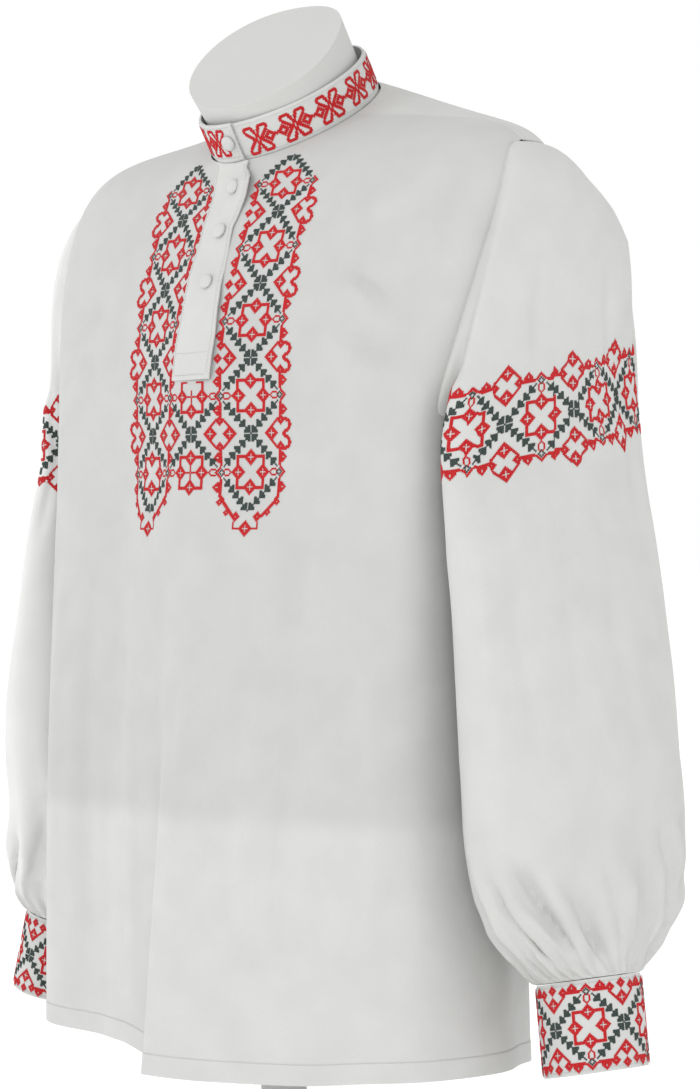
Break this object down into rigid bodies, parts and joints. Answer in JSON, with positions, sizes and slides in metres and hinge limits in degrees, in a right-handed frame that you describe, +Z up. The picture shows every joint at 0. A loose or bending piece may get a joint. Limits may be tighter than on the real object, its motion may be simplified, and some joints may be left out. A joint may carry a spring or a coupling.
{
  "type": "folk shirt on a dress form",
  "caption": "Long-sleeved folk shirt with band collar, buttoned front placket and embroidered bands, worn by a limbless dress form on a pole and round base.",
  "frame": {"origin": "centre of the underside of the stand's base", "axes": "+Z up, the front of the shirt faces -Y and the wearer's left is +X"},
  "size_m": [0.6862, 0.3, 0.8948],
  "materials": {
    "linen": "plain woven white cotton or linen",
    "buttons": "domed and covered with white cloth",
    "thread_red": "red embroidery cotton",
    "thread_black": "black embroidery cotton",
    "form_skin": "matt white",
    "stand_metal": "white powder coat"
  },
  "bodies": {
    "root": {"front": "linen", "back": "linen", "collar": "linen", "placket": "linen", "placket_under": "linen", "sleeve_left": "linen", "sleeve_right": "linen", "cuff_left": "linen", "cuff_right": "linen", "collar_button": "buttons", "cuff_button_left": "buttons", "cuff_button_right": "buttons", "placket_button_1": "buttons", "placket_button_2": "buttons", "placket_button_3": "buttons", "form_torso": "form_skin", "form_pole": "stand_metal", "form_base": "stand_metal"}
  },
  "joints": []
}
